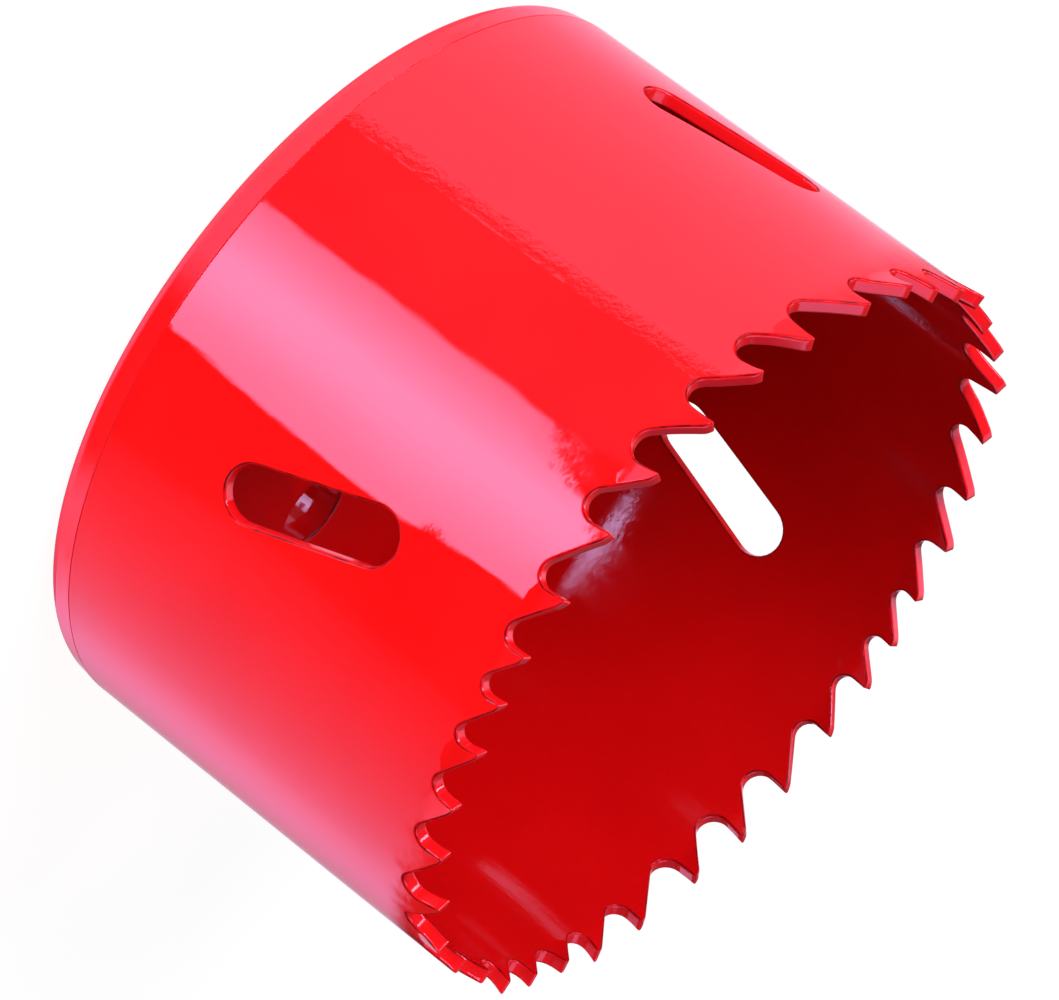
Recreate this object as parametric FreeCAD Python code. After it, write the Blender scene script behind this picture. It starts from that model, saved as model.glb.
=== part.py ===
import FreeCAD, Part
import math
import os

# Hole saw cup: a toothed band rolled and butt-welded into a tube, closed by a welded end plate.
# The origin is the centre of the end plate's outer face, and +Z runs along the axis to the teeth.

# Overall size
SAW_DIAMETER = 68.0
SAW_HEIGHT = 43.0
WALL = 1.3

# End plate: a rim that carries the band and narrows away from it, and a spigot that fits inside
RIM_THICKNESS = 2.8
RIM_ROUND = 1.4
RIM_TAPER = 7.0
SEAM_CHAMFER = 0.2
SPIGOT_HEIGHT = 2.2
SPIGOT_CHAMFER = 0.4
SPIGOT_CLEARANCE = 0.05

# Arbor thread 5/8-18 UNF, modelled at its minor diameter, and the holes for the drive pins
THREAD_MINOR_DIAMETER = 14.6
THREAD_CHAMFER = 0.7
PIN_HOLE_DIAMETER = 6.8
PIN_CIRCLE_DIAMETER = 25.4
PIN_HOLE_COUNT = 4
PIN_HOLE_CHAMFER = 0.3

# Slanted slots through the wall
SLOT_COUNT = 4
SLOT_LENGTH = 15.9
SLOT_WIDTH = 4.75
SLOT_SLANT = 18.0
SLOT_CENTRE_HEIGHT = 21.6

# Teeth: one group of pitches and gullet depths repeats along the band from the butt weld
GROUP_PITCHES = (6.1, 5.7, 6.1, 5.2, 4.4, 4.8, 5.2, 5.8, 7.1)
GROUP_DEPTHS = (3.6, 3.4, 2.9, 2.6, 2.3, 2.4, 2.6, 2.9, 3.5)
BUTT_WELD_ANGLE = 225.0
WELD_TO_FIRST_TIP = 2.0
RAKE_ANGLE = 5.0
LAND_LENGTH = 0.8
LAND_ANGLE = 17.0
GULLET_RADIUS_PER_DEPTH = 0.42
# Teeth are set outwards, straight and inwards in turn, counted along the band
TOOTH_SETS = (-0.4, 0.4, 0.0)

# How far the cutting shapes reach past the faces they open
CUTTER_REACH = 1.5

OUTER_RADIUS = SAW_DIAMETER / 2
INNER_RADIUS = OUTER_RADIUS - WALL
PLATE_THICKNESS = RIM_THICKNESS + SPIGOT_HEIGHT
Z_AXIS = FreeCAD.Vector(0, 0, 1)
ORIGIN = FreeCAD.Vector(0, 0, 0)


def revolved(profile, start_angle=0.0, sweep=360.0):
    """Turns a closed outline of (radius, height) points about the axis."""
    points = [FreeCAD.Vector(radius, 0, height) for radius, height in profile]
    face = Part.Face(Part.makePolygon(points + points[:1]))
    face.rotate(ORIGIN, Z_AXIS, start_angle)
    return face.revolve(ORIGIN, Z_AXIS, sweep)


def bore(diameter, chamfer):
    """A hole through the end plate with a chamfer at both mouths."""
    radius = diameter / 2
    mouth = radius + chamfer + CUTTER_REACH
    return revolved([
        (0, -CUTTER_REACH),
        (mouth, -CUTTER_REACH),
        (radius, chamfer),
        (radius, PLATE_THICKNESS - chamfer),
        (mouth, PLATE_THICKNESS + CUTTER_REACH),
        (0, PLATE_THICKNESS + CUTTER_REACH),
    ])


def make_end_plate():
    """The turned disc: tapered and rounded rim, stepped spigot, threaded centre, drive pin holes."""
    spigot_radius = INNER_RADIUS - SPIGOT_CLEARANCE
    taper = RIM_THICKNESS * math.tan(math.radians(RIM_TAPER))
    disc = revolved([
        (0, 0),
        (OUTER_RADIUS - taper, 0),
        (OUTER_RADIUS, RIM_THICKNESS - SEAM_CHAMFER),
        (OUTER_RADIUS - SEAM_CHAMFER, RIM_THICKNESS),
        (spigot_radius, RIM_THICKNESS),
        (spigot_radius, PLATE_THICKNESS - SPIGOT_CHAMFER),
        (spigot_radius - SPIGOT_CHAMFER, PLATE_THICKNESS),
        (0, PLATE_THICKNESS),
    ])
    lower_edge = [edge for edge in disc.Edges
                  if edge.Closed and edge.BoundBox.ZMax < SEAM_CHAMFER]
    disc = disc.makeFillet(RIM_ROUND, lower_edge)
    holes = [bore(THREAD_MINOR_DIAMETER, THREAD_CHAMFER)]
    for index in range(PIN_HOLE_COUNT):
        hole = bore(PIN_HOLE_DIAMETER, PIN_HOLE_CHAMFER)
        hole.translate(FreeCAD.Vector(PIN_CIRCLE_DIAMETER / 2, 0, 0))
        hole.rotate(ORIGIN, Z_AXIS, index * 360 / PIN_HOLE_COUNT)
        holes.append(hole)
    return disc.cut(holes)


def tooth_layout():
    """The tip angle, pitch, gullet depth and set of each tooth, in order from the butt weld.

    The band is cut to a whole number of teeth, and its pitches close the circle exactly.
    """
    circumference = math.pi * SAW_DIAMETER
    mean_pitch = sum(GROUP_PITCHES) / len(GROUP_PITCHES)
    count = round(circumference / mean_pitch)
    places = [index % len(GROUP_PITCHES) for index in range(count)]
    stretch = circumference / sum(GROUP_PITCHES[place] for place in places)
    teeth = []
    along = WELD_TO_FIRST_TIP
    for index, place in enumerate(places):
        pitch = GROUP_PITCHES[place] * stretch
        angle = BUTT_WELD_ANGLE + math.degrees(along / OUTER_RADIUS)
        teeth.append((angle, pitch, GROUP_DEPTHS[place], TOOTH_SETS[index % len(TOOTH_SETS)]))
        along += pitch
    return teeth


def gullet_outline(pitch, depth):
    """One gullet from tip to tip: land, back slope, round gullet and raked face.

    Points are (along the band, height above the tips), with the first tip at zero.
    """
    rake = math.radians(RAKE_ANGLE)
    radius = GULLET_RADIUS_PER_DEPTH * depth
    rake_length = (depth - radius * (1 + math.sin(rake))) / math.cos(rake)
    rake_foot = (pitch + rake_length * math.sin(rake), -rake_length * math.cos(rake))
    centre = (rake_foot[0] - radius * math.cos(rake), radius - depth)
    land_end = (LAND_LENGTH, -LAND_LENGTH * math.tan(math.radians(LAND_ANGLE)))
    to_centre = (centre[0] - land_end[0], centre[1] - land_end[1])
    distance = math.hypot(to_centre[0], to_centre[1])
    slope = math.atan2(to_centre[1], to_centre[0]) - math.asin(radius / distance)
    back_length = math.sqrt(distance ** 2 - radius ** 2)
    back_foot = (land_end[0] + back_length * math.cos(slope),
                 land_end[1] + back_length * math.sin(slope))
    bottom = (centre[0], -depth)
    return land_end, back_foot, bottom, rake_foot


def make_gullet_cutter(angle, pitch, depth):
    """A radial bar with the gullet's outline, between the tip at this angle and the next."""
    tip_radius = OUTER_RADIUS + max(TOOTH_SETS)
    half_angle = pitch / OUTER_RADIUS / 2
    width = 2 * tip_radius * math.tan(half_angle)
    land_end, back_foot, bottom, rake_foot = gullet_outline(width, depth)

    def place(point):
        return FreeCAD.Vector(INNER_RADIUS - CUTTER_REACH, point[0] - width / 2, SAW_HEIGHT + point[1])

    first_tip = place((0, 0))
    next_tip = place((width, 0))
    above_next = place((width, CUTTER_REACH))
    above_first = place((0, CUTTER_REACH))
    edges = [
        Part.LineSegment(first_tip, place(land_end)).toShape(),
        Part.LineSegment(place(land_end), place(back_foot)).toShape(),
        Part.Arc(place(back_foot), place(bottom), place(rake_foot)).toShape(),
        Part.LineSegment(place(rake_foot), next_tip).toShape(),
        Part.LineSegment(next_tip, above_next).toShape(),
        Part.LineSegment(above_next, above_first).toShape(),
        Part.LineSegment(above_first, first_tip).toShape(),
    ]
    face = Part.Face(Part.Wire(edges))
    bar = face.extrude(FreeCAD.Vector(WALL + 2 * CUTTER_REACH, 0, 0))
    bar.rotate(ORIGIN, Z_AXIS, angle + math.degrees(half_angle))
    return bar


def gullet_bottom_angle(angle, pitch, depth):
    """Where the gullet that follows this tip is deepest."""
    bottom = gullet_outline(pitch, depth)[2]
    return angle + math.degrees(bottom[0] / OUTER_RADIUS)


def make_tooth_sector(bend_height, tooth_set, start_angle, end_angle):
    """The band's wall over one tooth, leaning by its set from the bend up to the tip."""
    profile = [
        (INNER_RADIUS, bend_height),
        (OUTER_RADIUS, bend_height),
        (OUTER_RADIUS + tooth_set, SAW_HEIGHT),
        (INNER_RADIUS + tooth_set, SAW_HEIGHT),
    ]
    return revolved(profile, start_angle, end_angle - start_angle)


def make_toothed_band():
    """The tube of the band with its teeth, before the slots are cut.

    The set starts at the depth of the shallowest gullet, so neighbours never meet bent.
    """
    teeth = tooth_layout()
    bend_height = SAW_HEIGHT - min(GROUP_DEPTHS)
    tube = revolved([
        (INNER_RADIUS, RIM_THICKNESS),
        (OUTER_RADIUS - SEAM_CHAMFER, RIM_THICKNESS),
        (OUTER_RADIUS, RIM_THICKNESS + SEAM_CHAMFER),
        (OUTER_RADIUS, bend_height),
        (INNER_RADIUS, bend_height),
    ])
    sectors = []
    cutters = []
    for index, (angle, pitch, depth, tooth_set) in enumerate(teeth):
        before_angle, before_pitch, before_depth, _ = teeth[index - 1]
        start = gullet_bottom_angle(before_angle, before_pitch, before_depth)
        if start > angle:
            start -= 360
        end = gullet_bottom_angle(angle, pitch, depth)
        sectors.append(make_tooth_sector(bend_height, tooth_set, start, end))
        cutters.append(make_gullet_cutter(angle, pitch, depth))
    return tube.fuse(sectors).cut(cutters)


def make_slot_cutter():
    """A radial obround bar, leaning with its length from the axis of the saw."""
    half_width = SLOT_WIDTH / 2
    reach = SLOT_LENGTH / 2 - half_width
    inside = INNER_RADIUS - CUTTER_REACH

    def place(across, along):
        return FreeCAD.Vector(inside, across, along)

    edges = [
        Part.LineSegment(place(half_width, -reach), place(half_width, reach)).toShape(),
        Part.Arc(place(half_width, reach), place(0, SLOT_LENGTH / 2), place(-half_width, reach)).toShape(),
        Part.LineSegment(place(-half_width, reach), place(-half_width, -reach)).toShape(),
        Part.Arc(place(-half_width, -reach), place(0, -SLOT_LENGTH / 2), place(half_width, -reach)).toShape(),
    ]
    bar = Part.Face(Part.Wire(edges)).extrude(FreeCAD.Vector(WALL + 2 * CUTTER_REACH, 0, 0))
    bar.rotate(ORIGIN, FreeCAD.Vector(1, 0, 0), SLOT_SLANT)
    bar.translate(FreeCAD.Vector(0, 0, SLOT_CENTRE_HEIGHT))
    return bar


def make_saw_shell():
    """The whole band: toothed tube with its ring of slanted slots."""
    slots = []
    for index in range(SLOT_COUNT):
        slot = make_slot_cutter()
        slot.rotate(ORIGIN, Z_AXIS, index * 360 / SLOT_COUNT)
        slots.append(slot)
    return make_toothed_band().cut(slots)


def main():
    os.makedirs("parts", exist_ok=True)
    pieces = {
        "saw_shell": make_saw_shell(),
        "end_plate": make_end_plate(),
    }
    for name, shape in pieces.items():
        solids = shape.Solids
        solid = solids[0] if len(solids) == 1 else shape
        solid.exportStep(os.path.join("parts", name + ".step"))
        print(name, "solids", len(solids), "faces", len(shape.Faces), "valid", shape.isValid(),
              "volume", round(shape.Volume, 1))


main()
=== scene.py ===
import math
import bpy
import numpy as np
from mathutils import Matrix, Vector
from mathutils.geometry import delaunay_2d_cdt


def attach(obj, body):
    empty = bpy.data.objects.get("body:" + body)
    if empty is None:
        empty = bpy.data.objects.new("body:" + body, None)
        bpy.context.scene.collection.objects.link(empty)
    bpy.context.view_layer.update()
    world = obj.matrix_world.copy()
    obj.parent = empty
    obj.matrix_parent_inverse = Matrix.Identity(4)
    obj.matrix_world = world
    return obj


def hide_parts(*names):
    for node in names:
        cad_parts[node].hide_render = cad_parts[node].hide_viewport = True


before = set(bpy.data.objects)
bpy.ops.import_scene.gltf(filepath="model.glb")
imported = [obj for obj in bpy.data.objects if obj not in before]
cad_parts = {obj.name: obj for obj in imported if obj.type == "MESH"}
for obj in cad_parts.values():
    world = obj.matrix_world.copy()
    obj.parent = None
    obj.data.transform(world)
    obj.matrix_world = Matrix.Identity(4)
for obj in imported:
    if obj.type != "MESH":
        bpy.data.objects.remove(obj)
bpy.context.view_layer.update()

# The saw's sizes are millimetres, as in the solids, and become metres when a mesh is made.
# Its looks, the lights and the camera are in metres.
MM = 0.001

# The band and its teeth, as in the solids
RADIUS = 34.0
HEIGHT = 43.0
WALL = 1.3
FOOT = 2.8
WELD_ANGLE = 225.0
WELD_TO_FIRST_TIP = 2.0
GROUP_PITCHES = (6.1, 5.7, 6.1, 5.2, 4.4, 4.8, 5.2, 5.8, 7.1)
GROUP_DEPTHS = (3.6, 3.4, 2.9, 2.6, 2.3, 2.4, 2.6, 2.9, 3.5)
TOOTH_SETS = (-0.4, 0.4, 0.0)
BEND_POWER = 1.2
RAKE = math.radians(5.0)
LAND_LENGTH = 0.8
LAND_ANGLE = math.radians(17.0)
GULLET_RADIUS_PER_DEPTH = 0.42
SLOT_COUNT = 4
SLOT_LENGTH = 15.9
SLOT_WIDTH = 4.75
SLOT_SLANT = math.radians(18.0)
SLOT_HEIGHT = 21.6
# Rolling a slotted strip leaves the wall a little proud beside each slot
SLOT_RISE = 0.16
SLOT_RISE_WIDTH = 5.5

# How the lacquer rounds the punched edges, less so near a tip
EDGE_ROUND = 0.28
TIP_ROUND = 0.1
TIP_REACH = 0.6
FOOT_ROUND = 0.07
CORNER_BLUR = 0.18

# The end plate
PLATE_TOP = 5.0
RIM_ROUND = 1.4
RIM_TAPER = 7.0
SPIGOT_RADIUS = 32.65
SPIGOT_ROUND = 0.4
SPIGOT_LEAD = 0.05
BORE_RADIUS = 7.3
BORE_CHAMFER = 0.7
BORE_LIP = 0.12
THREAD_PITCH = 25.4 / 18
THREAD_DEPTH = 0.56
THREAD_ROOT = 1.25
THREAD_FLANK = 3.1
PIN_HOLES = 4
PIN_RADIUS = 3.4
PIN_ROUND = 0.3
PIN_CIRCLE_RADIUS = 12.7

# How fine the meshes are
GULLET_STEPS = 24
OUTLINE_SPACING = 0.24
SLOT_STEPS = 16
SLOT_SPACING = 0.5
FOOT_COLUMNS = 200
SIDE_STEPS = 36
EDGE_ANGLES = (30, 60, 90)
GRID_SPACING = 1.1
GRID_ROW_SPACING = 0.87 * GRID_SPACING
GRID_FOOT_GAP = 1.0
GRID_START_GAP = 0.6
GRID_END_GAP = 0.3
GRID_CLEARANCE = 0.45
RIM_COLUMNS = 224
RIM_STEPS = 12
SEAM_STEPS = 3
SPIGOT_STEPS = 4
BORE_COLUMNS = 112
BORE_ROWS = 56
PIN_COLUMNS = 56
PIN_STEPS = 3
# Half the step over which a slope is measured
NUDGE = 0.05

CIRCUMFERENCE = 2 * math.pi * RADIUS
# The way from the start of the unrolled band to its end
WRAP = np.array([CIRCUMFERENCE, 0.0])
BEND_LINE = HEIGHT - min(GROUP_DEPTHS)


def tooth_layout():
    """Each tooth's tip along the band from the weld, its pitch, gullet depth and set."""
    mean = sum(GROUP_PITCHES) / len(GROUP_PITCHES)
    count = round(CIRCUMFERENCE / mean)
    places = [index % len(GROUP_PITCHES) for index in range(count)]
    stretch = CIRCUMFERENCE / sum(GROUP_PITCHES[place] for place in places)
    teeth = []
    along = WELD_TO_FIRST_TIP
    for index, place in enumerate(places):
        pitch = GROUP_PITCHES[place] * stretch
        teeth.append((along, pitch, GROUP_DEPTHS[place], TOOTH_SETS[index % len(TOOTH_SETS)]))
        along += pitch
    return teeth


def gullet(pitch, depth):
    """Points from one tip to just before the next, and where the gullet is deepest.

    They follow the land, the back slope, the round gullet and the raked face.
    """
    radius = GULLET_RADIUS_PER_DEPTH * depth
    rake_length = (depth - radius * (1 + math.sin(RAKE))) / math.cos(RAKE)
    foot = (pitch + rake_length * math.sin(RAKE), -rake_length * math.cos(RAKE))
    centre = (foot[0] - radius * math.cos(RAKE), radius - depth)
    land = (LAND_LENGTH, -LAND_LENGTH * math.tan(LAND_ANGLE))
    reach = math.hypot(centre[0] - land[0], centre[1] - land[1])
    slope = math.atan2(centre[1] - land[1], centre[0] - land[0]) - math.asin(radius / reach)
    back = math.sqrt(reach ** 2 - radius ** 2)
    back_foot = (land[0] + back * math.cos(slope), land[1] + back * math.sin(slope))
    start = math.atan2(back_foot[1] - centre[1], back_foot[0] - centre[0])
    if start > 0:
        start -= 2 * math.pi
    end = -RAKE
    points = [(0.0, 0.0), land]
    for step in range(GULLET_STEPS + 1):
        angle = start + (end - start) * step / GULLET_STEPS
        points.append((centre[0] + radius * math.cos(angle), centre[1] + radius * math.sin(angle)))
    return points, centre[0]


def resample(points, closing, spacing):
    """Evenly spaced points on a closed line whose end joins its start shifted by closing."""
    line = np.vstack([points, points[0] + closing])
    lengths = np.r_[0, np.cumsum(np.hypot(*np.diff(line, axis=0).T))]
    count = int(round(lengths[-1] / spacing))
    at = np.arange(count) * lengths[-1] / count
    return np.c_[np.interp(at, lengths, line[:, 0]), np.interp(at, lengths, line[:, 1])]


def blurred(points, closing, spacing, width):
    """Rounds the corners of such a line softly."""
    reach = int(math.ceil(3 * width / spacing))
    weights = np.exp(-0.5 * (np.arange(-reach, reach + 1) * spacing / width) ** 2)
    weights /= weights.sum()
    padded = np.vstack([points[-reach:] - closing, points, points[:reach] + closing])
    return np.c_[np.convolve(padded[:, 0], weights, "valid"), np.convolve(padded[:, 1], weights, "valid")]


def left_normals(points, closing):
    """Unit normals to the left of a line that closes on itself shifted by closing."""
    before = np.vstack([points[-1] - closing, points[:-1]])
    after = np.vstack([points[1:], points[0] + closing])
    tangent = after - before
    tangent /= np.hypot(tangent[:, 0], tangent[:, 1])[:, None]
    return np.c_[-tangent[:, 1], tangent[:, 0]]


class Skin:
    """Collects the vertices, their normals and the faces of one piece.

    Each vertex also has two values for the lacquer: how far it lies on a rounded edge, and whether it
    lies inside the cup.
    """

    def __init__(self):
        self.points = []
        self.normals = []
        self.cuts = []
        self.insides = []
        self.faces = []
        self.count = 0

    def add(self, points, normals, cut=0.0, inner=0.0):
        start = self.count
        self.points.append(np.asarray(points, float))
        self.normals.append(np.asarray(normals, float))
        self.cuts.append(np.full(len(points), float(cut)))
        self.insides.append(np.full(len(points), float(inner)))
        self.count += len(points)
        return np.arange(start, self.count)

    def join(self, rings):
        """Quads from each closed ring of vertices to the next. Gives back the two end rings."""
        for first, second in zip(rings, rings[1:]):
            for a, b, c, d in zip(first, np.roll(first, -1), np.roll(second, -1), second):
                self.faces.append([a, b, c, d])
        return rings[0], rings[-1]

    def make(self, name):
        """The piece, with each face turned to the side that its vertices' normals point to."""
        points = np.vstack(self.points)
        normals = np.vstack(self.normals)
        faces = []
        for face in self.faces:
            corners = points[face]
            across = np.cross(corners[2] - corners[0], corners[-1] - corners[1])
            if len(face) == 3:
                across = np.cross(corners[1] - corners[0], corners[2] - corners[0])
            faces.append(list(face) if across @ normals[face].sum(0) >= 0 else list(face)[::-1])
        mesh = bpy.data.meshes.new(name)
        mesh.from_pydata((points * MM).tolist(), [], [[int(v) for v in face] for face in faces])
        mesh.polygons.foreach_set("use_smooth", [True] * len(mesh.polygons))
        mesh.update()
        normals = normals / np.linalg.norm(normals, axis=1)[:, None]
        mesh.normals_split_custom_set_from_vertices(normals.tolist())
        for label, values in (("cut", self.cuts), ("inner", self.insides)):
            layer = mesh.attributes.new(label, "FLOAT", "POINT")
            layer.data.foreach_set("value", np.concatenate(values).tolist())
        piece = bpy.data.objects.new(name, mesh)
        bpy.context.scene.collection.objects.link(piece)
        return piece


class Sheet:
    """Collects the points of a flat sheet that is to be filled with triangles."""

    def __init__(self):
        self.points = np.zeros((0, 2))

    def add(self, points):
        start = len(self.points)
        self.points = np.vstack([self.points, points])
        return np.arange(start, len(self.points))


def inside(points, outline):
    """Which points lie within a closed outline."""
    x, y = points[:, 0][:, None], points[:, 1][:, None]
    ax, ay = outline[:, 0][None], outline[:, 1][None]
    bx, by = np.roll(outline[:, 0], -1)[None], np.roll(outline[:, 1], -1)[None]
    spans = (ay > y) != (by > y)
    with np.errstate(divide="ignore", invalid="ignore"):
        crossing = ax + (y - ay) * (bx - ax) / (by - ay)
    return (np.count_nonzero(spans & (x < crossing), axis=1) % 2) == 1


def triangles(points, edges, outline, holes):
    """Triangles that fill an outline with holes, and for each input point its vertex."""
    verts, _, faces, origins, _, _ = delaunay_2d_cdt([Vector(p) for p in points], edges, [], 0, 1e-6)
    verts = np.array([v[:] for v in verts])
    faces = np.array([f for f in faces if len(f) == 3])
    centres = verts[faces].mean(axis=1)
    keep = inside(centres, outline)
    for hole in holes:
        keep &= ~inside(centres, hole)
    place = {}
    for index, inputs in enumerate(origins):
        for entry in inputs:
            place[entry] = index
    return verts, faces[keep], place


def ring_edges(loops):
    """The edges of closed loops of points."""
    return [(int(a), int(b)) for loop in loops for a, b in zip(loop, np.roll(loop, -1))]


# The toothed band

def tooth_line(teeth):
    """The line of the teeth on the unrolled band, and where each gullet is deepest.

    It starts and ends at the bottom of a gullet, so that no tooth is cut in two.
    """
    outline = []
    bottoms = []
    for along, pitch, depth, _ in teeth:
        points, bottom = gullet(pitch, depth)
        outline += [(along + x, HEIGHT + y) for x, y in points]
        bottoms.append(along + bottom)
    line = resample(np.array(outline), WRAP, OUTLINE_SPACING)
    line = blurred(line, WRAP, OUTLINE_SPACING, CORNER_BLUR)
    first = int(np.argmin(np.abs(line[:, 0] - bottoms[-2])))
    return np.vstack([line[first:] - WRAP, line[:first]]), np.array(bottoms)


TEETH = tooth_layout()
TIPS = np.array([tooth[0] for tooth in TEETH])
SETS = np.array([tooth[3] for tooth in TEETH])
TOP, BOTTOMS = tooth_line(TEETH)


def lean(along, height):
    """How far a tooth is bent outwards, and how steeply, at points of the band."""
    last = BOTTOMS[-1]
    place = np.searchsorted(BOTTOMS, np.mod(along - last, CIRCUMFERENCE) + last - CIRCUMFERENCE)
    rise = np.clip((height - BEND_LINE) / (HEIGHT - BEND_LINE), 0, None)
    tooth = SETS[np.mod(place, len(SETS))]
    slope = tooth * BEND_POWER * rise ** (BEND_POWER - 1) * (rise > 0) / (HEIGHT - BEND_LINE)
    return tooth * rise ** BEND_POWER, slope


def slot_rise(along, height):
    """How far the wall stands proud near the slots."""
    share = CIRCUMFERENCE / SLOT_COUNT
    across = np.mod(along + math.radians(WELD_ANGLE) * RADIUS + share / 2, share) - share / 2
    up = height - SLOT_HEIGHT
    side = across * math.cos(SLOT_SLANT) + up * math.sin(SLOT_SLANT)
    length = -across * math.sin(SLOT_SLANT) + up * math.cos(SLOT_SLANT)
    reach = SLOT_LENGTH / 2 - SLOT_WIDTH / 2
    past = length - np.clip(length, -reach, reach)
    return SLOT_RISE * np.exp(-(side ** 2 + past ** 2) / SLOT_RISE_WIDTH ** 2)


def on_band(flat, depth):
    """Points of the unrolled band, at a depth below its outer face, and the frame there."""
    along, height = flat.T
    angle = math.radians(WELD_ANGLE) + along / RADIUS
    shift, slope = lean(along, height)
    shift = shift + slot_rise(along, height)
    upwards = slot_rise(along, height + NUDGE) - slot_rise(along, height - NUDGE)
    slope = slope + upwards / (2 * NUDGE)
    turn = (slot_rise(along + NUDGE, height) - slot_rise(along - NUDGE, height)) / (2 * NUDGE)
    radius = RADIUS - depth + shift
    out = np.c_[np.cos(angle), np.sin(angle), np.zeros(len(angle))]
    around = np.c_[-np.sin(angle), np.cos(angle), np.zeros(len(angle))]
    up = np.zeros_like(out)
    up[:, 2] = 1
    points = out * radius[:, None]
    points[:, 2] = height
    face_out = out - up * slope[:, None] - around * turn[:, None]
    face_out /= np.linalg.norm(face_out, axis=1)[:, None]
    return points, face_out, around, up


def slot_outline(centre):
    """A slanted obround, anticlockwise on the unrolled band."""
    half = SLOT_WIDTH / 2
    reach = SLOT_LENGTH / 2 - half
    points = []
    for end, start in ((1, 0.0), (-1, math.pi)):
        for step in range(SLOT_STEPS + 1):
            angle = start + math.pi * step / SLOT_STEPS
            points.append((half * math.cos(angle), end * reach + half * math.sin(angle)))
    points = resample(np.array(points), np.zeros(2), SLOT_SPACING)
    cos, sin = math.cos(SLOT_SLANT), math.sin(SLOT_SLANT)
    turn = np.array([[cos, -sin], [sin, cos]])
    return points @ turn.T + np.array([centre, SLOT_HEIGHT])


def band_edges():
    """The line, normals and rounding of each edge of the unrolled band: teeth, foot, then slots."""
    half = CIRCUMFERENCE / 2
    from_tips = np.abs(np.mod(TOP[:, 0][:, None] - TIPS[None] + half, CIRCUMFERENCE) - half)
    near_tip = np.exp(-(np.hypot(from_tips.min(axis=1), HEIGHT - TOP[:, 1]) / TIP_REACH) ** 2)
    edges = [(TOP, left_normals(TOP, WRAP), EDGE_ROUND - (EDGE_ROUND - TIP_ROUND) * near_tip)]
    start = TOP[0, 0]
    # The foot's line runs backwards from the right edge of the strip
    across = start + CIRCUMFERENCE - np.arange(FOOT_COLUMNS) * CIRCUMFERENCE / FOOT_COLUMNS
    foot = np.c_[across, np.full(FOOT_COLUMNS, FOOT)]
    edges.append((foot, np.tile([0.0, -1.0], (FOOT_COLUMNS, 1)), np.full(FOOT_COLUMNS, FOOT_ROUND)))
    for index in range(SLOT_COUNT):
        angle = math.radians(360 / SLOT_COUNT * index - WELD_ANGLE)
        slot = slot_outline(np.mod(angle * RADIUS - start, CIRCUMFERENCE) + start)
        edges.append((slot, left_normals(slot, np.zeros(2)), np.full(len(slot), EDGE_ROUND)))
    return edges


def strip_border(sheet, top_line, foot_line):
    """Adds the four sides of the unrolled band to a sheet.

    Gives back the whole border, the pairs of points that meet once it is rolled up, and the points
    along its top and its foot.
    """
    left = top_line[0, 0]
    right = left + CIRCUMFERENCE
    low = FOOT + FOOT_ROUND
    heights = np.linspace(low, top_line[0, 1], SIDE_STEPS + 1)[1:-1]
    top = sheet.add(top_line)
    right_top = sheet.add(top_line[:1] + WRAP)
    foot = sheet.add(foot_line)
    sheet.points[foot[0]] = (right, low)
    left_foot = sheet.add([[left, low]])
    left_side = sheet.add(np.c_[np.full(len(heights), left), heights])
    right_side = sheet.add(np.c_[np.full(len(heights), right), heights])
    border = np.r_[top, right_top, right_side[::-1], foot, left_foot, left_side]
    pairs = list(zip(np.r_[right_top, foot[0], right_side], np.r_[top[0], left_foot, left_side]))
    return border, pairs, top, foot


def wall_grid(points, border_line, slot_lines):
    """Staggered points all over the unrolled band, clear of the points of its edges."""
    left = border_line[0, 0]
    rows = []
    for row, height in enumerate(np.arange(FOOT + GRID_FOOT_GAP, HEIGHT - GRID_END_GAP, GRID_ROW_SPACING)):
        along = np.arange(left + GRID_START_GAP, left + CIRCUMFERENCE - GRID_END_GAP, GRID_SPACING)
        along = along + (row % 2) * GRID_SPACING / 2
        rows.append(np.c_[along, np.full(len(along), height)])
    grid = np.vstack(rows)
    grid = grid[inside(grid, border_line)]
    for line in slot_lines:
        grid = grid[~inside(grid, line)]
    clear = np.full(len(grid), np.inf)
    # Eight shares keep the table of gaps small
    for share in np.array_split(points, 8):
        gaps = np.hypot(grid[:, None, 0] - share[None, :, 0], grid[:, None, 1] - share[None, :, 1])
        clear = np.minimum(clear, gaps.min(axis=1))
    return grid[clear > GRID_CLEARANCE]


def band_sheet(edges):
    """The unrolled band within its rounded edges: vertices, triangles and the vertices along each edge."""
    lines = [line - normal * width[:, None] for line, normal, width in edges]
    slot_lines = lines[2:]
    sheet = Sheet()
    border, pairs, top, foot = strip_border(sheet, lines[0], lines[1])
    slots = [sheet.add(line) for line in slot_lines]
    border_line = sheet.points[border]
    sheet.add(wall_grid(sheet.points, border_line, slot_lines))
    verts, faces, place = triangles(sheet.points, ring_edges([border] + slots), border_line, slot_lines)
    # The strip's right edge is its left edge once it is rolled up
    lookup = np.arange(len(verts))
    for right, left in pairs:
        lookup[place[right]] = place[left]
    along_edges = [lookup[[place[entry] for entry in entries]] for entries in [top, foot] + slots]
    return verts, lookup[faces], along_edges


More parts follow.
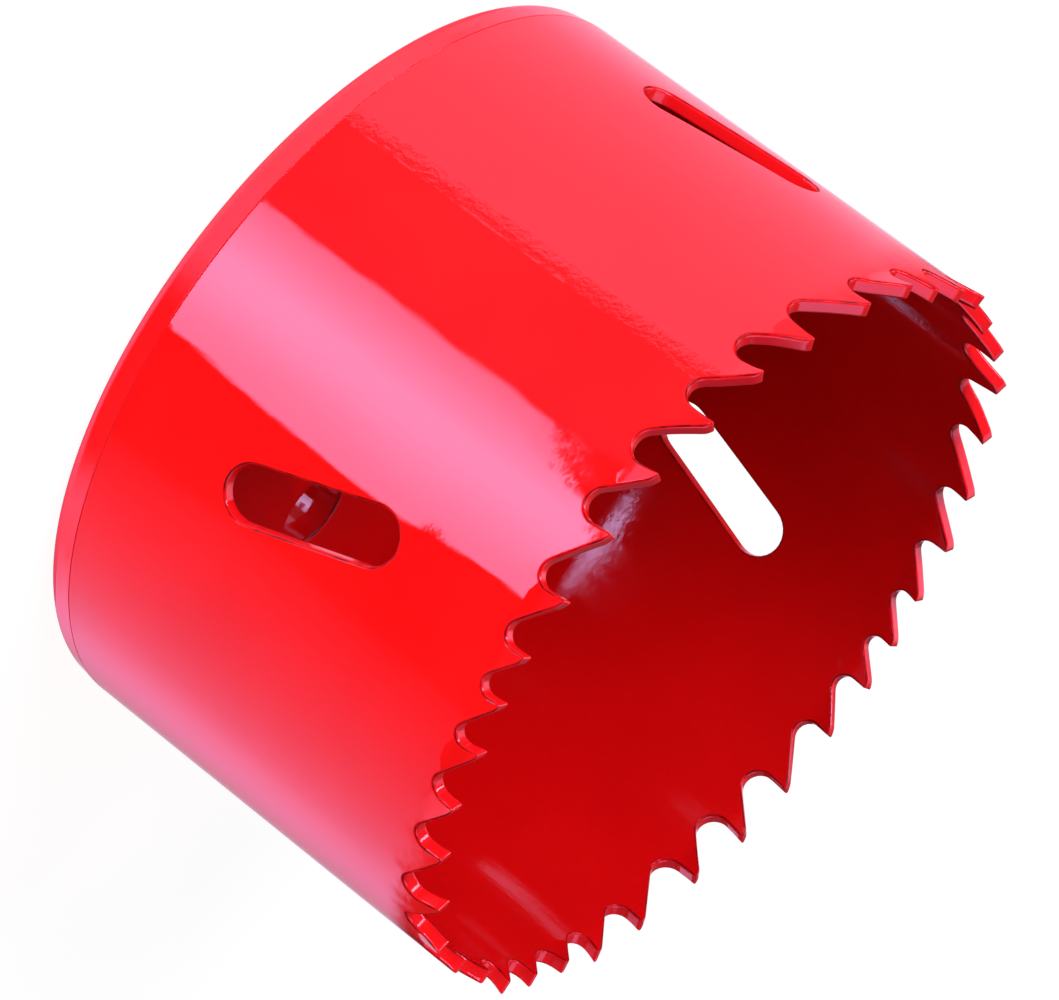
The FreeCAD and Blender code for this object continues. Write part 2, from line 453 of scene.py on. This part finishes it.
def edge_rings(edge, outer, inner, skin):
    """Rings of vertices that round an edge of the band, from its outer face to its inner one."""
    line, normal, width = edge
    rings = [outer]
    outer_levels = [(angle, 1) for angle in EDGE_ANGLES]
    inner_levels = [(angle, -1) for angle in EDGE_ANGLES[::-1]]
    for angle, side in outer_levels + [(90, 0)] + inner_levels:
        turn = math.radians(angle)
        depth = width * (1 - math.cos(turn))
        if side == 0:
            depth = np.full(len(line), WALL / 2)
        if side == -1:
            depth = WALL - depth
        flat = line - normal * (width * (1 - math.sin(turn)))[:, None]
        points, out, around, up = on_band(flat, depth)
        sideways = around * normal[:, :1] + up * normal[:, 1:]
        facing = out * math.cos(turn) * side + sideways * math.sin(turn)
        rings.append(skin.add(points, facing, math.sin(turn), 0.5 - side / 2))
    return rings + [inner]


def make_band():
    skin = Skin()
    edges = band_edges()
    flat, faces, along_edges = band_sheet(edges)
    outer_points, outer_normals, _, _ = on_band(flat, 0.0)
    inner_points, inner_normals, _, _ = on_band(flat, WALL)
    outer = skin.add(outer_points, outer_normals)
    inner = skin.add(inner_points, -inner_normals, 0.0, 1.0)
    skin.faces += outer[faces].tolist()
    skin.faces += inner[faces].tolist()
    for edge, entries in zip(edges, along_edges):
        skin.join(edge_rings(edge, outer[entries], inner[entries], skin))
    return skin.make("toothed_band")


# The end plate

# An edge inside the cup is rounded where its normal points up by more and less than these
ROUNDED_FROM = 0.1
ROUNDED_TO = 0.95
# Rounded edges inside the cup get this cut value, which colours them with the dark line red: painted shade
# where the plate meets the wall and at the mouths of its pin holes
EDGE_SHADE_CUT = 0.5


def circle(radius, count, centre=(0.0, 0.0)):
    angle = np.arange(count) * 2 * math.pi / count
    return np.c_[centre[0] + radius * np.cos(angle), centre[1] + radius * np.sin(angle)]


def turned(skin, profile, count, centre=(0.0, 0.0)):
    """Rings round an axis for each (radius, height, normal out, normal up) of a profile."""
    rings = []
    for radius, height, out, up in profile:
        points = np.c_[circle(radius, count, centre), np.full(count, height)]
        normals = np.c_[circle(out, count), np.full(count, up)]
        inner = 1.0 if height > FOOT else 0.0
        # Painted shade: rounded edges inside the cup are coloured dark
        rounded = EDGE_SHADE_CUT if ROUNDED_FROM < up < ROUNDED_TO else 0.0
        rings.append(skin.add(points, normals, rounded * inner, inner))
    return rings


def arc(centre_r, centre_z, radius, start, end, steps):
    """A rounded edge as profile points, from one angle to another."""
    points = []
    for step in range(steps + 1):
        angle = math.radians(start + (end - start) * step / steps)
        points.append((centre_r + radius * math.cos(angle), centre_z + radius * math.sin(angle),
                       math.cos(angle), math.sin(angle)))
    return points


def plate_rim(skin):
    """The tapered rim with its round, the shoulder under the band and the step inside it."""
    taper = math.radians(RIM_TAPER)
    rim_centre = RADIUS - (FOOT - RIM_ROUND) * math.tan(taper) - RIM_ROUND / math.cos(taper)
    seam_centre = RADIUS - FOOT_ROUND * (1 + math.tan(taper))
    spigot_centre = SPIGOT_RADIUS - SPIGOT_ROUND
    profile = arc(rim_centre, RIM_ROUND, RIM_ROUND, -90, -RIM_TAPER, RIM_STEPS)
    profile += arc(seam_centre, FOOT - FOOT_ROUND, FOOT_ROUND, -RIM_TAPER, 90, SEAM_STEPS)
    profile += [(SPIGOT_RADIUS + SPIGOT_LEAD, FOOT, 0.0, 1.0), (SPIGOT_RADIUS, FOOT + SPIGOT_LEAD, 1.0, 0.0)]
    profile += arc(spigot_centre, PLATE_TOP - SPIGOT_ROUND, SPIGOT_ROUND, 0, 90, SPIGOT_STEPS)
    return skin.join(turned(skin, profile, RIM_COLUMNS))


def bore_radius(height, turn):
    """The threaded bore: the groove winds round it, and a chamfer opens each mouth."""
    phase = np.mod(height / THREAD_PITCH - turn / (2 * math.pi), 1.0)
    groove = np.clip(THREAD_ROOT - np.abs(phase - 0.5) * THREAD_FLANK, 0, 1) * THREAD_DEPTH
    past_chamfer = np.maximum(BORE_CHAMFER - height, height - PLATE_TOP + BORE_CHAMFER)
    return np.maximum(BORE_RADIUS + groove, BORE_RADIUS + np.maximum(0, past_chamfer))


def threaded_bore(skin):
    angle = np.arange(BORE_COLUMNS) * 2 * math.pi / BORE_COLUMNS
    mouth = circle(BORE_RADIUS + BORE_CHAMFER + BORE_LIP, BORE_COLUMNS)
    upright = np.tile([0.0, 0.0, 1.0], (BORE_COLUMNS, 1))
    rings = [skin.add(np.c_[mouth, np.zeros(BORE_COLUMNS)], -upright)]
    for height in np.linspace(BORE_LIP, PLATE_TOP - BORE_LIP, BORE_ROWS):
        points = np.c_[circle(bore_radius(height, angle), BORE_COLUMNS), np.full(BORE_COLUMNS, height)]
        slope = (bore_radius(height + NUDGE, angle) - bore_radius(height - NUDGE, angle)) / (2 * NUDGE)
        normals = np.c_[-np.cos(angle), -np.sin(angle), slope]
        normals /= np.linalg.norm(normals, axis=1)[:, None]
        rings.append(skin.add(points, normals, 0.0, 1.0))
    rings.append(skin.add(np.c_[mouth, np.full(BORE_COLUMNS, PLATE_TOP)], upright))
    return skin.join(rings)


def pin_hole(skin, turn):
    """A hole for a drive pin, rounded at both mouths."""
    profile = []
    for step in range(PIN_STEPS + 1):
        angle = math.pi / 2 * (1 - step / PIN_STEPS)
        out, down = math.cos(angle), math.sin(angle)
        profile.append((PIN_RADIUS + PIN_ROUND * (1 - out), PIN_ROUND * (1 - down), -out, -down))
    profile += [(radius, PLATE_TOP - height, out, -up) for radius, height, out, up in profile[::-1]]
    centre = (PIN_CIRCLE_RADIUS * math.cos(turn), PIN_CIRCLE_RADIUS * math.sin(turn))
    return skin.join(turned(skin, profile, PIN_COLUMNS, centre))


def flat_face(skin, rings):
    """Fills a flat face between its outer ring and the rings of its holes."""
    placed = np.vstack(skin.points)
    outlines = [placed[ring][:, :2] for ring in rings]
    sheet = Sheet()
    loops = [sheet.add(outline) for outline in outlines]
    verts, faces, place = triangles(sheet.points, ring_edges(loops), outlines[0], outlines[1:])
    target = np.zeros(len(verts), int)
    for entries, ring in zip(loops, rings):
        for entry, vertex in zip(entries, ring):
            target[place[entry]] = vertex
    skin.faces += target[faces].tolist()


def make_plate():
    skin = Skin()
    ends = [plate_rim(skin), threaded_bore(skin)]
    ends += [pin_hole(skin, 2 * math.pi * index / PIN_HOLES) for index in range(PIN_HOLES)]
    lower, upper = zip(*ends)
    flat_face(skin, lower)
    flat_face(skin, upper)
    return skin.make("threaded_end_plate")


# Materials

class Nodes:
    """Short calls for building a node tree."""

    def __init__(self, tree):
        self.tree = tree
        tree.nodes.clear()

    def add(self, kind, inputs=(), **settings):
        node = self.tree.nodes.new(kind)
        for key, value in settings.items():
            setattr(node, key, value)
        for key, value in dict(inputs).items():
            if isinstance(value, bpy.types.NodeSocket):
                self.tree.links.new(value, node.inputs[key])
            else:
                node.inputs[key].default_value = value
        return node

    def math(self, operation, a, b=0.0):
        return self.add("ShaderNodeMath", {0: a, 1: b}, operation=operation).outputs[0]

    def times(self, total, *values):
        for value in values:
            total = self.math("MULTIPLY", total, value)
        return total

    def plus(self, total, *values):
        for value in values:
            total = self.math("ADD", total, value)
        return total

    def less(self, value):
        """One less the value."""
        return self.math("SUBTRACT", 1.0, value)

    def stretch(self, vector, scales):
        return self.add("ShaderNodeVectorMath", {0: vector, 1: scales}, operation="MULTIPLY").outputs[0]

    def noise(self, vector, scale, detail=2.0, rough=0.5):
        inputs = {"Vector": vector, "Scale": scale, "Detail": detail, "Roughness": rough}
        return self.add("ShaderNodeTexNoise", inputs).outputs["Fac"]

    def ramp(self, value, low, high, to_low, to_high, smooth=True):
        """Maps a span of values to another, and holds the ends beyond it."""
        inputs = {"Value": value, "From Min": low, "From Max": high, "To Min": to_low, "To Max": to_high}
        kind = "SMOOTHSTEP" if smooth else "LINEAR"
        return self.add("ShaderNodeMapRange", inputs, interpolation_type=kind).outputs["Result"]

    def rising(self, value, low, high):
        return self.ramp(value, low, high, 0.0, 1.0)

    def falling(self, value, low, high):
        return self.ramp(value, low, high, 1.0, 0.0)

    def mix(self, factor, a, b):
        return self.add("ShaderNodeMix", {0: factor, 6: a, 7: b}, data_type="RGBA").outputs[2]


# The lacquer's colours: each pair is the two ends of a slow drift in tone
OUTER_REDS = ((0.87, 0.0014, 0.0024, 1), (0.92, 0.0022, 0.0034, 1))
# The inside's reds are darker than the outside's: painted shade inside the cup
INNER_SHADED_REDS = ((0.54, 0.0014, 0.0026, 1), (0.59, 0.002, 0.0032, 1))
DUST_RED = (0.92, 0.018, 0.026, 1)
EDGE_RED = (0.84, 0.006, 0.01, 1)
# A dark line along the rounded edges; on the plate's rounded edges inside the cup it is painted shade
DARK_LINE_RED = (0.09, 0.002, 0.004, 1)
WELD_RED = (0.62, 0.003, 0.004, 1)

# The lacquer's relief: the bump's distance in metres, and each feature's height in such distances
RELIEF = 0.00002
RIPPLE_HEIGHT = 1.35
PEEL_HEIGHT = 0.06
STREAK_HEIGHT = 0.35
SCUFF_HEIGHT = 0.3
BEAD_HEIGHT = 1.6
WELD_LINE_HEIGHT = -0.45
MOTTLE_HEIGHT = 2.4

# How far the lacquer gathers from the seam of band and plate, in metres
BEAD_REACH = 0.0009
# The mottled strip's middle lies this far beside the butt weld
MOTTLE_OFFSET = math.radians(1.1)

# The coat's roughness outside and inside, at both ends of its drift
SMEAR = (0.025, 0.06)
DULL = (0.035, 0.1)


def lacquer_red(n, tone, grain, cut, inner, dark_line):
    """The colour, with specks of dust, a paler tone on cut edges and a dark line beside them, and darker
    reds inside the cup as painted shade.
    """
    drift = n.rising(tone, 0.3, 0.7)
    red = n.mix(inner, n.mix(drift, *OUTER_REDS), n.mix(drift, *INNER_SHADED_REDS))
    red = n.mix(n.times(n.rising(grain, 0.62, 0.8), 0.1), red, DUST_RED)
    red = n.mix(n.ramp(cut, 0.3, 0.9, 0.0, 0.9), red, EDGE_RED)
    return n.mix(n.times(dark_line, n.ramp(grain, 0.35, 0.65, 0.5, 1.0)), red, DARK_LINE_RED)


def lacquer_relief(n, where, up, streak, inner):
    """Ripples all over, streaks and scuffs inside, and beads of lacquer along the seam."""
    ripple = n.noise(n.stretch(where, (1.0, 1.0, 0.3)), scale=320.0)
    peel = n.noise(where, scale=1500.0)
    scuff = n.noise(where, scale=2200.0, detail=3.0, rough=0.6)
    from_seam = n.math("ABSOLUTE", n.math("SUBTRACT", up, FOOT * MM))
    bead = n.times(n.noise(where, scale=420.0, rough=0.6), n.falling(from_seam, 0.0, BEAD_REACH))
    return n.plus(n.times(ripple, RIPPLE_HEIGHT), n.times(peel, PEEL_HEIGHT),
                  n.times(streak, inner, STREAK_HEIGHT), n.times(scuff, inner, SCUFF_HEIGHT),
                  n.times(bead, BEAD_HEIGHT))


def butt_weld(n, where, x, y, tone):
    """The weld's shallow line, and the mottled strip beside it that the heat left."""
    off = n.math("SUBTRACT", n.math("ARCTAN2", y, x), math.radians(WELD_ANGLE - 360.0))
    line = n.falling(n.math("ABSOLUTE", off), math.radians(0.15), math.radians(0.8))
    line = n.times(line, n.ramp(tone, 0.3, 0.7, 0.2, 1.0))
    beside = n.math("ABSOLUTE", n.plus(off, MOTTLE_OFFSET))
    heated = n.falling(beside, math.radians(0.7), math.radians(1.9))
    mottle = n.math("SUBTRACT", n.noise(where, scale=1300.0, detail=3.0, rough=0.65), 0.5)
    return line, n.times(mottle, heated)


def lacquer(name, weld):
    """Glossy red lacquer with a fine ripple and a little dust in it.

    It has a dark line along cut edges, gathers at the seam, and is darker, duller, streaky and scuffed
    inside. The darker inside, and the dark line on the plate's rounded edges inside the cup, are painted
    shade.
    """
    material = bpy.data.materials.new(name)
    material.use_nodes = True
    n = Nodes(material.node_tree)
    where = n.add("ShaderNodeTexCoord").outputs["Object"]
    x, y, up = n.add("ShaderNodeSeparateXYZ", {0: where}).outputs
    cut = n.add("ShaderNodeAttribute", attribute_name="cut").outputs["Fac"]
    inner = n.add("ShaderNodeAttribute", attribute_name="inner").outputs["Fac"]
    tone = n.noise(where, scale=75.0, detail=3.0)
    grain = n.noise(where, scale=800.0, detail=3.0, rough=0.6)
    streak = n.noise(n.stretch(where, (1.0, 1.0, 0.12)), scale=700.0, detail=3.0, rough=0.55)
    # The dark line along each rounded edge, where the coat is also weaker; on the plate inside the cup it is
    # painted shade
    dark_line = n.times(n.rising(cut, 0.1, 0.5), n.falling(cut, 0.6, 0.95))
    red = lacquer_red(n, tone, grain, cut, inner, dark_line)
    height = lacquer_relief(n, where, up, streak, inner)
    if weld:
        line, mottle = butt_weld(n, where, x, y, tone)
        height = n.plus(height, n.times(line, WELD_LINE_HEIGHT), n.times(mottle, MOTTLE_HEIGHT))
        red = n.mix(n.times(line, 0.3), red, WELD_RED)
    bump = n.add("ShaderNodeBump", {"Height": height, "Strength": 1.0, "Distance": RELIEF}).outputs[0]
    smear = n.ramp(tone, 0.35, 0.75, *SMEAR)
    dull = n.ramp(streak, 0.3, 0.7, *DULL)
    gloss = n.add("ShaderNodeMix", {0: inner, 2: smear, 3: dull}, data_type="FLOAT").outputs[0]
    coat = n.ramp(dark_line, 0.0, 1.0, 1.0, 0.25)
    shader = n.add("ShaderNodeBsdfPrincipled", {
        "Base Color": red, "Roughness": 0.42, "Specular IOR Level": 0.03, "Normal": bump,
        "Coat Weight": coat, "Coat Roughness": gloss, "Coat IOR": 1.52, "Coat Normal": bump})
    n.add("ShaderNodeOutputMaterial", {0: shader.outputs[0]})
    return material


band = make_band()
plate = make_plate()
band.data.materials.append(lacquer("band_lacquer_finish", True))
plate.data.materials.append(lacquer("plate_lacquer_finish", False))
for piece, node, slot in ((band, "saw_shell", "band_lacquer"), (plate, "end_plate", "plate_lacquer")):
    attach(piece, "root")
    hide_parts(node)

# The studio

WHITE = (1, 1, 1, 1)
# The side of the saw that faces the lens, in degrees round it
FRONT = 250.43

# The floor's half width, how far it lies under the saw, and the radii where its glow starts and is full
FLOOR_REACH = 6
FLOOR_DROP = 0.0001
GLOW_START = 0.0325
GLOW_FULL = 0.035

# The ball that carries the light panels
GLOBE_RADIUS = 1.5
GLOBE_COLUMNS = 96
GLOBE_ROWS = 24

# Where the panels start and end, in half turns from the front
SIDE_PANEL = (-84.0, -27.0)
DIM_GAP = (-27.0, -10.0)
SWEEP = (28.5, 84.0)
LOW_BAR = (-52.0, -14.0)
NOOK = (-75.0, -50.0)


def surface(name, points, faces, material):
    mesh = bpy.data.meshes.new(name)
    mesh.from_pydata(points, [], faces)
    mesh.materials.append(material)
    item = bpy.data.objects.new(name, mesh)
    bpy.context.scene.collection.objects.link(item)
    return item


def pointing(azimuth, elevation):
    """The unit vector of a direction in degrees."""
    a, e = math.radians(azimuth), math.radians(elevation)
    return Vector((math.cos(a) * math.cos(e), math.sin(a) * math.cos(e), math.sin(e)))


def make_floor():
    """A pale table that glows a little, so that the sides are lit from below as well."""
    paint = bpy.data.materials.new("floor_paint")
    paint.use_nodes = True
    n = Nodes(paint.node_tree)
    seen = n.add("ShaderNodeLightPath").outputs["Is Camera Ray"]
    matte = n.add("ShaderNodeBsdfDiffuse", {"Color": (0.8, 0.8, 0.8, 1)})
    where = n.add("ShaderNodeTexCoord").outputs["Object"]
    spread = n.add("ShaderNodeVectorMath", {0: where}, operation="LENGTH").outputs["Value"]
    strength = n.times(n.ramp(spread, GLOW_START, GLOW_FULL, 0.0, 1.2), n.less(seen))
    glow = n.add("ShaderNodeEmission", {"Color": WHITE, "Strength": strength})
    lit = n.add("ShaderNodeAddShader", {0: matte.outputs[0], 1: glow.outputs[0]})
    white = n.add("ShaderNodeEmission", {"Color": WHITE, "Strength": 1.12})
    blend = n.add("ShaderNodeMixShader", {0: n.times(seen, 0.85), 1: lit.outputs[0], 2: white.outputs[0]})
    n.add("ShaderNodeOutputMaterial", {0: blend.outputs[0]})
    corners = [(x * FLOOR_REACH, y * FLOOR_REACH, 0) for x, y in ((-1, -1), (1, -1), (1, 1), (-1, 1))]
    floor = surface("floor", corners, [(0, 1, 2, 3)], paint)
    floor.location.z = -FLOOR_DROP
    floor.visible_glossy = False


class Panels(Nodes):
    """Nodes that place light panels on the globe.

    half_turn is half the azimuth in degrees from the front: the place on the round wall where a panel
    shows. height runs from -1 straight down to 1 straight up.
    """

    def __init__(self, tree):
        super().__init__(tree)
        where = self.add("ShaderNodeTexCoord").outputs["Object"]
        aim = self.add("ShaderNodeVectorMath", {0: where}, operation="NORMALIZE").outputs[0]
        turn = {"Vector": aim, "Angle": math.radians(-FRONT)}
        self.aim = self.add("ShaderNodeVectorRotate", turn, rotation_type="Z_AXIS").outputs[0]
        self.front, side, self.height = self.add("ShaderNodeSeparateXYZ", {0: self.aim}).outputs
        self.half_turn = self.times(self.math("ARCTAN2", side, self.front), math.degrees(0.5))

    def between(self, span, soft):
        """One within a span of half turns, fading out over its soft ends."""
        start, end = span
        return self.times(self.rising(self.half_turn, start - soft, start + soft),
                          self.falling(self.half_turn, end - soft, end + soft))

    def near_to(self, azimuth, elevation, width, edge):
        """One within an angle of a direction, fading out over a soft edge."""
        inputs = {0: self.aim, 1: pointing(azimuth - FRONT, elevation)}
        along = self.add("ShaderNodeVectorMath", inputs, operation="DOT_PRODUCT").outputs["Value"]
        return self.rising(along, math.cos(math.radians(width + edge)), math.cos(math.radians(width - edge)))


def ring_panels(p):
    """The panels at the height that the upright wall reflects."""
    side = p.times(p.between(SIDE_PANEL, 0.4), p.ramp(p.half_turn, -62.0, -27.0, 0.56, 1.0, smooth=False),
                   p.ramp(p.height, -0.345, -0.335, 1.0, 0.5))
    gap = p.times(p.between(DIM_GAP, 0.4), 0.16)
    # The bright window behind the stripe, whose left edge is cut off at a slant lower down
    hot = p.times(p.ramp(p.half_turn, -9.5, -0.5, 2.6, 5.7, smooth=False),
                  p.ramp(p.half_turn, 0.0, 11.0, 1.0, 0.64))
    slanted = p.math("SUBTRACT", p.half_turn, p.ramp(p.height, -0.3625, -0.3565, 0.0, 5.8))
    window = p.times(p.rising(slanted, -10.2, -9.0), p.falling(p.half_turn, 11.1, 11.9), hot,
                     p.falling(p.height, -0.346, -0.34))
    sweep = p.times(p.between(SWEEP, 2.0), p.ramp(p.half_turn, 27.0, 64.0, 0.03, 0.84, smooth=False),
                    p.ramp(p.half_turn, 64.0, 80.0, 1.0, 0.5), p.falling(p.height, -0.344, -0.338))
    beyond = p.ramp(p.math("ABSOLUTE", p.half_turn), 82.0, 86.0, 0.0, 0.8)
    return p.plus(side, gap, window, sweep, beyond)


def table_below(p):
    """The pale table below the panels, in shade to one side."""
    near = p.ramp(p.front, -0.6, 0.3, 0.2, 1.05)
    shade = p.times(p.between((4.5, 40.0), 6.0), p.ramp(p.height, -0.97, -0.75, 0.0, 0.95))
    gap_shade = p.times(p.between((-27.0, -2.5), 1.0), p.ramp(p.height, -0.6, -0.54, 0.0, 0.76))
    return p.times(near, p.less(shade), p.less(gap_shade))


def lights_above(p):
    """Two soft lights overhead and a long low bar."""
    soft = p.plus(p.times(p.near_to(352.0, 66.0, width=23.0, edge=6.0), 1.1),
                  p.times(p.near_to(109.0, 33.0, width=18.0, edge=10.0), 0.9))
    bar = p.times(p.between(LOW_BAR, 1.0), p.ramp(p.height, 0.52, 0.54, 0.0, 8.0),
                  p.falling(p.height, 0.7, 0.72))
    return p.plus(soft, bar, 0.1)


def globe_strength(p):
    """The table below, the ring of panels and the lights above, one over the other."""
    table_edge = p.plus(p.height, p.times(p.between((-14.0, 0.5), 1.0), -0.105))
    over_table = p.rising(table_edge, -0.57, -0.553)
    under_top = p.falling(p.height, -0.08, 0.02)
    # Dark where the wall of the far slot looks
    nook = p.times(p.between(NOOK, 2.0), p.rising(p.height, -0.26, -0.2), p.falling(p.height, 0.06, 0.1))
    strength = p.plus(p.times(ring_panels(p), over_table, under_top),
                      p.times(table_below(p), p.less(over_table)),
                      p.times(lights_above(p), p.less(under_top)))
    return p.times(strength, p.less(nook))


def globe_tint(p):
    tint = p.mix(p.rising(p.half_turn, -14.0, -11.0), (1.15, 1.0, 1.6, 1), (1.15, 1.0, 1.88, 1))
    return p.mix(p.rising(p.math("ABSOLUTE", p.half_turn), 70.0, 82.0), tint, (1.15, 1.0, 1.3, 1))


def ball():
    """Points and faces of the globe, row by row from its lowest point."""
    points = [(0.0, 0.0, -GLOBE_RADIUS)]
    faces = []
    for row in range(1, GLOBE_ROWS):
        first = 1 + (row - 1) * GLOBE_COLUMNS
        below = first - GLOBE_COLUMNS
        for step in range(GLOBE_COLUMNS):
            spot = pointing(360 * step / GLOBE_COLUMNS, -90 + 180 * row / GLOBE_ROWS)
            points.append(tuple(spot * GLOBE_RADIUS))
            after = (step + 1) % GLOBE_COLUMNS
            if row == 1:
                faces.append((0, first + step, first + after))
            else:
                faces.append((below + step, first + step, first + after, below + after))
    points.append((0.0, 0.0, GLOBE_RADIUS))
    for step in range(GLOBE_COLUMNS):
        faces.append((first + step, len(points) - 1, first + (step + 1) % GLOBE_COLUMNS))
    return points, faces


def light_globe():
    """Light panels all round the saw that are seen only in its reflections."""
    glow = bpy.data.materials.new("light_globe")
    glow.use_nodes = True
    p = Panels(glow.node_tree)
    shine = p.add("ShaderNodeEmission", {"Color": globe_tint(p), "Strength": globe_strength(p)})
    p.add("ShaderNodeOutputMaterial", {0: shine.outputs[0]})
    glow.cycles.emission_sampling = "NONE"
    item = surface("light_globe", *ball(), glow)
    item.visible_camera = False
    item.visible_diffuse = False
    item.visible_shadow = False
    item.visible_transmission = False


def make_sky():
    """A soft sky that is brightest near the horizon, with nothing below it."""
    world = bpy.data.worlds.new("studio")
    bpy.context.scene.world = world
    world.use_nodes = True
    n = Nodes(world.node_tree)
    direction = n.add("ShaderNodeTexCoord").outputs["Generated"]
    up = n.add("ShaderNodeSeparateXYZ", {0: direction}).outputs[2]
    sky = n.times(n.rising(up, -0.02, 0.0), n.ramp(up, 0.03, 0.42, 0.75, 0.1))
    back = n.add("ShaderNodeBackground", {"Color": WHITE, "Strength": sky})
    n.add("ShaderNodeOutputWorld", {0: back.outputs[0]})


def area(name, azimuth, elevation, distance, size, power):
    """A round lamp that is aimed at the saw and that nothing shows or mirrors."""
    lamp = bpy.data.lights.new(name, "AREA")
    lamp.shape = "DISK"
    lamp.size = size
    lamp.energy = power
    item = bpy.data.objects.new(name, lamp)
    spot = pointing(azimuth, elevation) * distance
    item.location = spot
    item.rotation_euler = (-spot).to_track_quat("-Z", "Y").to_euler()
    bpy.context.scene.collection.objects.link(item)
    item.visible_camera = False
    item.visible_glossy = False


def place_camera():
    """The camera, at the photograph's view."""
    place = (-0.1469213, -0.4145197, 0.2071695)
    right = Vector((-0.46623003, 0.49417095, 0.73377424))
    upward = Vector((-0.82908048, 0.04529595, -0.55729151))
    forward = Vector((0.30863427, 0.86818394, -0.38858916))
    camera = bpy.data.cameras.new("camera")
    camera.sensor_fit = "HORIZONTAL"
    camera.sensor_width = 36.0
    camera.lens = 200.16
    camera.clip_start = 0.01
    eye = bpy.data.objects.new("camera", camera)
    turn = Matrix((right, upward, -forward)).transposed()
    eye.matrix_world = Matrix.Translation(place) @ turn.to_4x4()
    bpy.context.scene.collection.objects.link(eye)
    bpy.context.scene.camera = eye


make_floor()
light_globe()
make_sky()
area("key", azimuth=200.0, elevation=36.0, distance=1.2, size=0.9, power=17.0)
place_camera()
bpy.context.scene.view_settings.view_transform = "Standard"
